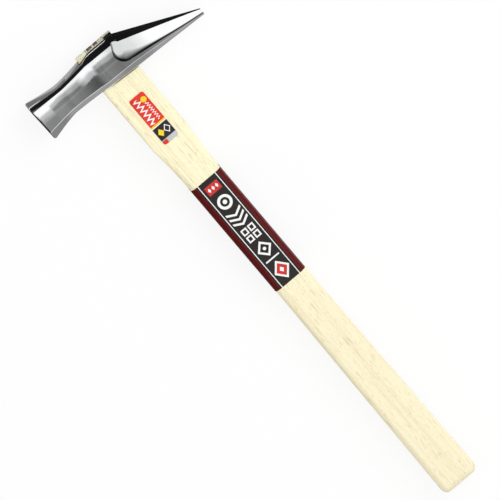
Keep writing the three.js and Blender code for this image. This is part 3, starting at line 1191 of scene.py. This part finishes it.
    def ground_edge(self) -> list[tuple[Vector, Vector, float]]:
        """The hollow's edge on the side of the point, from the top round its start to beyond the tip.

        Returns:
            Places as (x, y), each with the direction into the hollow and with how wide its wall is there,
            as a share.
        """
        centre = Vector((self.ground_x, self.ground_y))
        foot_angle = 3 * math.pi / 2 + self.ground_foot_slope
        edge = []
        for i in range(self.arc_slices + 1):
            angle = mix(self.ground_top_angle, foot_angle, i / self.arc_slices)
            gone = min(1.0, max(0.0, (angle - self.swell_start) / (foot_angle - self.swell_start)))
            out = Vector((math.cos(angle), math.sin(angle)))
            edge.append((centre + out * self.ground_radius, -out, gone * gone * (3 - 2 * gone)))
        first, into, _ = edge[0]
        up = turned(into, math.pi / 2)
        rise = (self.crown_height + 2 * self.overrun - first.y) / up.y
        last, into_foot, _ = edge[-1]
        along = turned(into_foot, -math.pi / 2)
        run = (self.tip_x + self.overrun - last.x) / along.x
        edge.insert(0, (first + up * rise, into, 0.0))
        for k in range(1, self.foot_slices + 1):
            gone = k / self.foot_slices
            edge.append((last + along * run * gone, into_foot, (1 - gone) ** self.fade_power))
        return edge

    def ground_wall(self, edge: Vector, width: float, step: float) -> tuple[float, float]:
        """Where one line of the hollow's wall runs.

        Args:
            edge: The nearest place on the hollow's edge.
            width: How wide the wall is there, as a share.
            step: 0 where the floor begins to rise, 1 where the fillet takes over, 2 where it is upright.

        Returns:
            How far the line is inside the edge, and how high above the floor.
        """
        radius = mix(self.fillet_at_tip, self.fillet, width)
        dish = mix(self.dish_at_tip, self.dish, width ** self.dish_fade_power)
        joint = math.tan(self.dish_slope) * dish / 2
        depth = self.bare_station(edge.x).side - self.ground_level(edge.x, edge.y)
        level = math.cos(self.dish_slope) - (depth - joint) / radius
        mouth = math.acos(min(math.cos(self.dish_slope), max(0.0, level)))
        if step < 1:
            start = radius * (math.sin(mouth) - math.sin(self.dish_slope))
            return start + dish * (1 - step), joint * step ** 2
        angle = mix(self.dish_slope, math.pi / 2, step - 1)
        rise = radius * (math.cos(self.dish_slope) - math.cos(angle))
        return radius * (math.sin(mouth) - math.sin(angle)), joint + rise

    def ground_cutter(self, side: int) -> bpy.types.Object:
        """What the wheel takes away on one side of the point.

        Args:
            side: 1 for the upper side, -1 for the lower.

        Returns:
            The cutter.
        """
        edge = self.ground_edge()
        beyond = Vector((self.tip_x + 2 * self.overrun, self.crown_height + self.overrun))
        steps = [k / self.dish_slices for k in range(self.dish_slices)]
        steps += [1 + k / self.fillet_slices for k in range(self.fillet_slices + 1)]
        rings = []
        for step in steps:
            walls = [self.ground_wall(place, width, step) for place, _, width in edge]
            points = [place + into * wall[0] for (place, into, _), wall in zip(edge, walls)]
            heights = [wall[1] for wall in walls]
            points.append(beyond)
            heights.append(heights[-1])
            rings.append([Vector((p.x, p.y, side * (self.ground_level(p.x, p.y) + height)))
                          for p, height in zip(points, heights)])
        out_z = side * (self.cheek_end.side + self.overrun)
        rings.append([Vector((p.x, p.y, out_z)) for p in rings[-1]])
        lifted = [[p + Vector((0, 0, self.middle_z)) for p in ring] for ring in rings]
        return Skin(lifted).object("ground_cutter")

    def eye_cutter(self) -> bpy.types.Object:
        """What the eye takes out of the head.

        Returns:
            The cutter.
        """
        ridge = Ridge(self.eye_corner, self.eye_slices)
        outline = rounded_box(self.eye_width, self.eye_thickness, ridge, (1, 1))
        ends = (self.cheek_end.bottom - self.overrun, self.crown_height + self.overrun)
        rings = [[Vector((p.x, y, p.y + self.middle_z)) for p in outline] for y in ends]
        return Skin(rings).object("eye_cutter")

    def build(self, finish: PolishedSteel) -> bpy.types.Object:
        """Makes the head.

        Args:
            finish: Its steel.

        Returns:
            The head.
        """
        head = Skin(self.rings()).object("steel_head")
        carve(head, [self.ground_cutter(1), self.ground_cutter(-1), self.eye_cutter()])
        smooth(head, self.crease)
        settle(head, "hammer_head", Slot.STEEL, finish.material())
        return head


@dataclass
class Handle:
    """The wooden handle: tang through the eye, block, waist and grip.

    Attributes:
        middle_z: Height of its axis above the floor.
        flare_power: How the block narrows towards the waist.
        slices: How many sections each span gets, from the crown to the butt.
        end_normal: How squarely a face looks along the handle to count as end grain.
        crease: Angle in degrees past which an edge stays sharp.
    """

    middle_z: float
    top_y: float = 12.15
    tang_width: float = 22.8
    tang_thickness: float = 11.0
    tang_corner: float = 1.0
    underside_y: float = -9.5
    block_end_y: float = -49.8
    waist_start_y: float = -78.2
    waist_end_y: float = -157.0
    waist_width: float = 19.6
    waist_start_thickness: float = 15.0
    waist_end_thickness: float = 15.4
    butt_y: float = -287.85
    butt_width: float = 22.0
    butt_thickness: float = 17.0
    grip_corner: float = 3.6
    butt_round_in: float = 3.0
    butt_round_along: float = 4.1
    flare_power: float = 1.9
    corner_slices: int = 10
    corner_margin: float = 0.3
    edge_break: float = 0.25
    edge_slices: int = 3
    end_normal: float = 0.9
    crease: float = 35.0
    butt_slices: int = 12
    slices: tuple[int, ...] = (4, 10, 16, 14, 20)

    def thickness(self, y: float) -> float:
        """Thickness of the handle.

        Args:
            y: A place along it.

        Returns:
            Its thickness there.
        """
        if y > self.waist_start_y:
            gone = (y - self.underside_y) / (self.waist_start_y - self.underside_y)
            return mix(self.tang_thickness, self.waist_start_thickness, max(0.0, gone))
        if y > self.waist_end_y:
            gone = (y - self.waist_start_y) / (self.waist_end_y - self.waist_start_y)
            return mix(self.waist_start_thickness, self.waist_end_thickness, gone)
        foot = self.butt_y + self.butt_round_along
        gone = (y - self.waist_end_y) / (foot - self.waist_end_y)
        return mix(self.waist_end_thickness, self.butt_thickness, min(1.0, gone))

    def width(self, y: float) -> float:
        """Width of the handle.

        Args:
            y: A place along it.

        Returns:
            Its width there.
        """
        if y > self.waist_start_y:
            gone = (y - self.waist_start_y) / (self.block_end_y - self.waist_start_y)
            return mix(self.waist_width, self.tang_width, min(1.0, gone) ** self.flare_power)
        foot = self.butt_y + self.butt_round_along
        gone = (y - self.waist_end_y) / (foot - self.waist_end_y)
        return mix(self.waist_width, self.butt_width, min(1.0, max(0.0, gone)))

    def corner(self, y: float) -> float:
        """Radius of the handle's long edges at a place along it."""
        gone = (y - self.waist_start_y) / (self.block_end_y - self.waist_start_y)
        return mix(self.grip_corner, self.tang_corner, min(1.0, max(0.0, gone)))

    def outline(self, y: float, grown: float = 0.0) -> list[Vector]:
        """The section at a place along the handle, grown outwards if asked."""
        ridge = Ridge(self.corner(y) + grown, self.corner_slices, self.corner_margin)
        return rounded_box(self.width(y) + 2 * grown, self.thickness(y) + 2 * grown, ridge, (5, 3))

    def ring(self, y: float, grown: float = 0.0) -> list[Vector]:
        """The section as points of the handle."""
        return [Vector((p.x, y, p.y + self.middle_z)) for p in self.outline(y, grown)]

    def rings(self) -> list[list[Vector]]:
        """Draws the sections of the handle.

        Returns:
            The sections, from the end grain at the crown to the butt.
        """
        rings = []
        for k in range(self.edge_slices + 1):
            angle = k / self.edge_slices * math.pi / 2
            rings.append(self.ring(self.top_y - self.edge_break * (1 - math.cos(angle)),
                                   -self.edge_break * (1 - math.sin(angle))))
        stops = (self.top_y - self.edge_break, self.underside_y, self.block_end_y, self.waist_start_y,
                 self.waist_end_y, self.butt_y + self.butt_round_along)
        for (start, end), count in zip(pairwise(stops), self.slices, strict=True):
            rings += [self.ring(mix(start, end, k / count)) for k in range(1, count + 1)]
        for k in range(1, self.butt_slices + 1):
            angle = k / self.butt_slices * math.pi / 2
            y = self.butt_y + self.butt_round_along * (1 - math.sin(angle))
            rings.append(self.ring(y, -self.butt_round_in * (1 - math.cos(angle))))
        return rings

    def build(self, finish: PaleWood, pockets: list[bpy.types.Object]) -> bpy.types.Object:
        """Makes the handle.

        Args:
            finish: Its wood.
            pockets: What the wedges take out of its top.

        Returns:
            The handle.
        """
        handle = Skin(self.rings()).object("wood_handle")
        carve(handle, pockets)
        smooth(handle, self.crease)
        settle(handle, "handle", Slot.WOOD, finish.along(), finish.across())
        for polygon in handle.data.polygons:
            polygon.material_index = int(abs(polygon.normal.y) > self.end_normal)
        return handle


@dataclass
class Wedge:
    """A steel wedge across the end grain, and the pocket it has split open.

    Attributes:
        name: The object's name.
        node: The node of the part that it stands for.
        x: Its middle along the head.
        thickness: Its thickness at the top.
        middle_z: Height of the handle's axis above the floor.
        offset_z: How far its middle is above that axis.
        edge: Its thickness at the foot.
        clearance: Gap between it and the wood.
        overrun: How far the pocket's cutter stands out of the wood.
    """

    name: str
    node: str
    x: float
    thickness: float
    middle_z: float
    top_y: float = 11.85
    length: float = 17.0
    width: float = 7.2
    offset_z: float = -1.0
    edge: float = 0.6
    clearance: float = 0.2
    overrun: float = 3.0
    edge_break: float = 0.12

    def body(self, clearance: float, overrun: float) -> bmesh.types.BMesh:
        """A tapering block.

        Args:
            clearance: How much it is grown on its sides and foot.
            overrun: How much it is grown at its top.

        Returns:
            Its mesh.
        """
        slope = (self.thickness - self.edge) / 2 / self.length
        foot = self.top_y - self.length - clearance
        half_foot = self.edge / 2 - slope * clearance + clearance
        half_top = self.thickness / 2 + slope * overrun + clearance
        rise = self.top_y + overrun - foot
        block = bmesh.new()
        bmesh.ops.create_cube(block, size=1.0)
        bmesh.ops.scale(block, vec=(1, rise, self.width + 2 * clearance), verts=block.verts)
        for vertex in block.verts:
            half = half_top if vertex.co.y > 0 else half_foot
            vertex.co.x = math.copysign(half, vertex.co.x)
        place = Vector((self.x, foot + rise / 2, self.middle_z + self.offset_z))
        bmesh.ops.translate(block, vec=place, verts=block.verts)
        bmesh.ops.scale(block, vec=(MM, MM, MM), verts=block.verts)
        return block

    def pocket(self) -> bpy.types.Object:
        """What it takes out of the handle."""
        return as_object(self.body(self.clearance, self.overrun), "pocket")

    def build(self, material: bpy.types.Material) -> bpy.types.Object:
        """Makes the wedge, its edges broken.

        Args:
            material: Its steel.

        Returns:
            The wedge.
        """
        block = self.body(0.0, 0.0)
        bmesh.ops.bevel(block, geom=block.edges[:], offset=self.edge_break * MM, segments=2, profile=0.5,
                        affect="EDGES", material=-1)
        wedge = as_object(block, self.name)
        smooth(wedge)
        settle(wedge, self.node, Slot.WEDGE, material)
        return wedge


@dataclass
class LabelSleeve:
    """The printed film round the waist.

    Attributes:
        handle: What it goes round.
        gap: Gap between the wood and the film.
        wall: Thickness of the film.
        lip: How far its ends are bevelled.
        slices: How many stretches it has along the handle.
        overrun: How far its bore's cutter stands out of each end.
    """

    handle: Handle
    start_y: float = -78.5
    end_y: float = -147.7
    gap: float = 0.05
    wall: float = 0.15
    lip: float = 0.05
    slices: int = 34
    overrun: float = 1.0

    def build(self, finish: SleevePrint) -> bpy.types.Object:
        """Makes the film.

        Args:
            finish: Its print.

        Returns:
            The film.
        """
        outer = self.gap + self.wall
        inside = [mix(self.start_y, self.end_y, k / self.slices) for k in range(1, self.slices)]
        rows = [self.start_y - self.lip, *inside, self.end_y + self.lip]
        rings = [self.handle.ring(y, outer) for y in rows]
        rings.insert(0, self.handle.ring(self.start_y, outer - self.lip))
        rings.append(self.handle.ring(self.end_y, outer - self.lip))
        ends = (self.start_y + self.overrun, self.end_y - self.overrun)
        bore = Skin([self.handle.ring(y, self.gap) for y in ends])
        film = Skin(rings).object("label_film")
        carve(film, [bore.object("film_bore")])
        smooth(film)
        material = finish.material(self.start_y, self.handle.middle_z)
        settle(film, "label_sleeve", Slot.SLEEVE, material)
        return film


@dataclass
class Sticker:
    """The sticker on the sloping front of the block.

    Attributes:
        handle: What it sticks to.
        top_y: Where its upper end is.
        x: Its middle across the handle.
        glue: Thickness of the glue below it.
        edge_break: Width of the bevel round its face.
    """

    handle: Handle
    width: float = 9.3
    length: float = 29.7
    wall: float = 0.2
    corner: float = 1.4
    corner_slices: int = 6
    top_y: float = -21.3
    x: float = -0.1
    glue: float = 0.05
    edge_break: float = 0.05

    def build(self, finish: StickerPrint) -> bpy.types.Object:
        """Makes the sticker.

        Args:
            finish: Its print.

        Returns:
            The sticker.
        """
        ridge = Ridge(self.corner, self.corner_slices)
        middle_y = self.top_y - self.length / 2
        gained = self.handle.waist_start_thickness - self.handle.tang_thickness
        slope = math.atan2(gained / 2, self.handle.underside_y - self.handle.waist_start_y)
        lift = self.handle.middle_z + self.handle.thickness(middle_y) / 2 + self.glue / math.cos(slope)
        rings = []
        for height, inwards in ((0, 0), (self.wall - self.edge_break, 0), (self.wall, self.edge_break)):
            outline = rounded_box(self.width - 2 * inwards, self.length - 2 * inwards, ridge, (3, 9))
            rings.append([Vector((p.x, p.y, height)) for p in outline])
        plate = Skin(rings)
        turn = Matrix.Rotation(-slope, 4, "X")
        place = Matrix.Translation(Vector((self.x, middle_y, lift)) * MM)
        bmesh.ops.transform(plate.mesh, matrix=place @ turn, verts=plate.mesh.verts)
        sticker = plate.object("block_sticker")
        smooth(sticker)
        settle(sticker, "handle_sticker", Slot.STICKER, finish.material(self.x, self.top_y))
        return sticker


# Studio


class Stand(Enum):
    """How a card stands: which way its own X, Y and Z axes point."""

    FLAT = Matrix.Identity(4)
    ACROSS_Y = Matrix.Rotation(math.pi / 2, 4, "X")
    ACROSS_X = Matrix.Rotation(math.pi / 2, 4, "Z") @ Matrix.Rotation(math.pi / 2, 4, "X")


Stops = tuple[Span, ...]


@dataclass(frozen=True)
class Card:
    """A glowing card that only polished metal sees.

    Attributes:
        name: Its name.
        low: Its corner with the lowest coordinates, in metres.
        high: The opposite corner, in metres.
        glow: How bright it is.
        stand: How it stands.
        across: Shares of the glow at places along its own X, from its middle, if it isn't even.
        along: The same along its own Y.
        soft: Widths of the borders in which it fades out at its low and high ends along X.
    """

    name: str
    low: tuple[float, float, float]
    high: tuple[float, float, float]
    glow: float
    stand: Stand = Stand.FLAT
    across: Stops = ()
    along: Stops = ()
    soft: Span = (0.0, 0.0)

    def material(self) -> bpy.types.Material:
        """Makes its glow.

        Returns:
            The material.
        """
        s = Sketch(self.name)
        s.tree.nodes.remove(s.shader)
        own = s.node("ShaderNodeTexCoord").outputs["Object"]
        axes = s.node("ShaderNodeSeparateXYZ", {0: own}).outputs
        strength = self.glow
        for axis, stops in (("X", self.across), ("Y", self.along)):
            if stops:
                strength = s.sum("MULTIPLY", self.ramp(s, axes[axis], stops), strength)
        surface = s.node("ShaderNodeEmission", {"Strength": strength}).outputs[0]
        if any(self.soft):
            half = (self.high[0] - self.low[0]) / 2
            shown = s.sum("MULTIPLY", s.fit(axes["X"], -half, -half + self.soft[0]),
                          s.fit(axes["X"], half - self.soft[1], half, 1.0, 0.0))
            clear = s.node("ShaderNodeBsdfTransparent").outputs[0]
            surface = s.node("ShaderNodeMixShader", {0: shown, 1: clear, 2: surface}).outputs[0]
        s.show(surface)
        return s.material

    def ramp(self, s: Sketch, axis: bpy.types.NodeSocket, stops: Stops) -> bpy.types.NodeSocket:
        """The share of the glow along one of its axes.

        Args:
            s: Its material.
            axis: The axis.
            stops: The shares at places along it.

        Returns:
            The share.
        """
        start, end = stops[0][0], stops[-1][0]
        ramp = s.node("ShaderNodeValToRGB", {0: s.fit(axis, start, end)})
        for _ in stops[2:]:
            ramp.color_ramp.elements.new(0.5)
        for element, (place, share) in zip(ramp.color_ramp.elements, stops, strict=True):
            element.position = (place - start) / (end - start)
            element.color = (share, share, share, 1)
        return ramp.outputs[0]

    def build(self) -> bpy.types.Object:
        """Hangs the card up.

        Returns:
            The card.
        """
        low, high = Vector(self.low), Vector(self.high)
        own = self.stand.value.transposed() @ (high - low)
        card = sheet(self.name, abs(own.x), abs(own.y))
        card.matrix_world = Matrix.Translation((low + high) / 2) @ self.stand.value
        card.data.materials.append(self.material())
        card.visible_camera = False
        card.visible_diffuse = False
        card.visible_shadow = False
        card.visible_transmission = False
        return card


@dataclass
class Studio:
    """Pale floor, white surroundings, soft lamps, cards and the camera.

    Attributes:
        tilt: How far the camera stands towards the crown from straight above, in radians.
        look_at: The point at the middle of the picture, in metres.
        span: Width of the picture there, in metres.
        distance: How far the camera is from it, in metres.
        right_share: How much of the picture's right is the head's length.
        up_share: How much of the picture's right is the handle's lower end.
        ambient: Strength of the plain light from all round.
        floor_glow: How much of the floor is white light to the camera, and not shaded paint.
    """

    tilt: float = math.radians(11.76)
    look_at: tuple[float, float, float] = (-0.0062, -0.1232, 0.0105)
    span: float = 0.2581
    distance: float = 10.0
    right_share: float = 0.7627
    up_share: float = 0.6468
    ambient: float = 0.62
    floor_width: float = 8.0
    floor_colour: tuple[float, ...] = (0.93, 0.93, 0.93, 1.0)
    floor_glow: float = 0.86
    cards: tuple[Card, ...] = (
        Card("card_back", (-0.9, 0.25, 0.0), (0.9, 0.25, 0.4), 0.012, Stand.ACROSS_Y),
        Card("card_back_low", (-0.9, 0.045, 0.0008), (0.9, 0.25, 0.0008), 0.012),
        Card("card_point_low", (0.0072, -0.015, 0.0004), (0.12, 0.06, 0.0004), 0.012),
        Card("card_point_far", (0.12, -0.1, 0.0004), (0.6, 0.045, 0.0004), 0.012),
        Card("card_crown_low", (-0.0115, 0.0, 0.0004), (0.0072, 0.019, 0.0004), 0.05),
        Card("card_face_low", (-0.06, 0.0, 0.0003), (-0.0115, 0.0145, 0.0003), 0.5,
             along=((0.0, 1.0), (0.0032, 1.0), (0.0037, 0.43), (0.00725, 0.3))),
        Card("card_neck_low", (-0.037, 0.0145, 0.0003), (-0.0115, 0.045, 0.0003), 0.2),
        Card("card_neck_step", (-0.0225, 0.0098, 0.00045), (-0.0115, 0.0117, 0.00045), 0.45),
        Card("card_under_low", (-0.06, -0.3, 0.0003), (-0.0115, -0.01, 0.0003), 0.1),
        Card("card_sky", (-1.3, -0.192, 1.0), (1.3, 0.98, 1.0), 1.3,
             along=((-0.586, 0.477), (-0.55, 0.52), (-0.543, 0.62), (-0.536, 0.85), (-0.528, 1.0),
                    (-0.4997, 1.0), (-0.4497, 0.77), (-0.3287, 0.46), (-0.1897, 0.2), (0.0604, 0.023),
                    (0.586, 0.015))),
        Card("card_sky_grey", (-1.3, -0.376, 0.99), (1.3, -0.192, 0.99), 0.32,
             across=((-0.8, 0.25), (-0.38, 0.34), (0.0, 0.87), (0.65, 1.0))),
        Card("card_sky_right", (0.58, -0.45, 0.98), (3.0, 0.98, 0.98), 1.3,
             across=((-1.21, 0.9), (-1.13, 0.5), (-0.99, 0.26), (-0.69, 0.14), (1.21, 0.08)),
             along=((-0.715, 1.0), (-0.365, 1.0), (-0.215, 0.65), (-0.085, 0.26), (0.035, 0.09),
                    (0.715, 0.02))),
        Card("card_sky_step", (0.22, -0.222, 0.985), (1.3, -0.192, 0.985), 0.48),
        Card("card_sky_patch", (-0.3, -0.372, 0.98), (0.25, -0.113, 0.98), 0.76, soft=(0.1, 0.03),
             across=((-0.275, 0.75), (-0.14, 0.8), (-0.07, 0.92), (-0.045, 0.95), (-0.03, 0.78),
                     (0.045, 1.0), (0.275, 1.1)),
             along=((-0.1295, 0.4), (0.0345, 0.4), (0.0375, 0.52), (0.047, 0.52), (0.052, 0.34),
                    (0.083, 0.34), (0.0895, 0.76), (0.117, 0.8), (0.1295, 1.0))),
        Card("card_front", (-1.5, -0.9, 0.0), (3.5, -0.9, 0.55), 0.42, Stand.ACROSS_Y,
             along=((-0.275, 1.0), (-0.1, 1.0), (0.1, 0.7), (0.275, 0.7))),
        Card("card_left", (-0.4, -0.3, 0.0), (-0.4, 0.3, 0.5), 0.02, Stand.ACROSS_X),
        Card("card_left_low", (-0.4, -0.3, 0.0005), (-0.065, 0.028, 0.0005), 0.03),
        Card("card_right", (0.6, -0.3, 0.0), (0.6, 0.3, 0.3), 0.03, Stand.ACROSS_X),
    )

    def surroundings(self) -> None:
        """White where they are seen or mirrored, and plain soft light on everything else."""
        world = bpy.data.worlds.new("studio")
        bpy.context.scene.world = world
        world.use_nodes = True
        nodes = Nodes(world.node_tree)
        seen = nodes.rays("Is Camera Ray", "Is Glossy Ray", "Is Transmission Ray")
        background = world.node_tree.nodes["Background"]
        nodes.feed(background.inputs["Color"], (1, 1, 1, 1))
        nodes.feed(background.inputs["Strength"], nodes.fit(seen, 0.0, 1.0, self.ambient))

    def floor(self) -> None:
        """A pale floor that keeps the hammer's shadow."""
        s = Sketch("floor")
        s.surface(Base_Color=self.floor_colour, Roughness=1.0, Specular_IOR_Level=0.0)
        share = s.sum("MULTIPLY", s.rays("Is Camera Ray"), self.floor_glow)
        glow = s.node("ShaderNodeEmission").outputs[0]
        s.show(s.node("ShaderNodeMixShader", {0: share, 1: s.shader.outputs[0], 2: glow}).outputs[0])
        floor = sheet("floor", self.floor_width, self.floor_width)
        floor.data.materials.append(s.material)

    def lamp(self, name: str, place: tuple[float, float, float], size: float, power: float) -> None:
        """Hangs up a soft square lamp that looks at the hammer.

        Args:
            name: Its name.
            place: Where it hangs, in metres.
            size: Its width, in metres.
            power: Its power, in watts.
        """
        data = bpy.data.lights.new(name, "AREA")
        data.size = size
        data.energy = power
        lamp = bpy.data.objects.new(name, data)
        lamp.location = place
        direction = Vector(self.look_at) - Vector(place)
        lamp.rotation_euler = direction.to_track_quat("-Z", "Y").to_euler()
        lamp.visible_glossy = False
        bpy.context.scene.collection.objects.link(lamp)

    def camera(self) -> None:
        """The photograph's view: from above and a little from the crown's side."""
        crown = Vector((0, math.cos(self.tilt), -math.sin(self.tilt)))
        point = Vector((1, 0, 0))
        right = point * self.right_share - crown * self.up_share
        above = point * self.up_share + crown * self.right_share
        back = right.cross(above).normalized()
        data = bpy.data.cameras.new("camera")
        data.sensor_width = 36.0
        data.lens = data.sensor_width * self.distance / self.span
        data.clip_end = 4 * self.distance
        camera = bpy.data.objects.new("camera", data)
        turn = Matrix((right.normalized(), above.normalized(), back)).transposed().to_4x4()
        camera.matrix_world = Matrix.Translation(Vector(self.look_at) + back * self.distance) @ turn
        bpy.context.scene.collection.objects.link(camera)
        bpy.context.scene.camera = camera

    def build(self) -> None:
        """Sets the studio up."""
        bpy.context.scene.view_settings.view_transform = "Standard"
        self.surroundings()
        self.floor()
        self.lamp("lamp_right", (0.75, 0.2, 1.0), 0.9, 6.0)
        self.lamp("lamp_top", (-0.1, -0.2, 1.3), 1.2, 4.0)
        for card in self.cards:
            card.build()
        self.camera()


def main() -> None:
    """Builds the studio and the hammer."""
    logging.basicConfig(level=logging.INFO, format="%(name)s: %(message)s")
    Studio().build()
    low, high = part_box("hammer_head")
    middle_z = (low.z + high.z) / 2 / MM
    HammerHead(middle_z).build(PolishedSteel())
    handle = Handle(middle_z)
    wedges = [
        Wedge("face_side_wedge", "wedge_face_side", x=-2.45, thickness=2.6, middle_z=middle_z),
        Wedge("point_side_wedge", "wedge_point_side", x=1.6, thickness=2.0, middle_z=middle_z),
    ]
    handle.build(PaleWood(), [wedge.pocket() for wedge in wedges])
    wedge_steel = DarkSteel().material()
    for wedge in wedges:
        wedge.build(wedge_steel)
    LabelSleeve(handle).build(SleevePrint())
    Sticker(handle).build(StickerPrint())


if __name__ == "__main__":
    main()
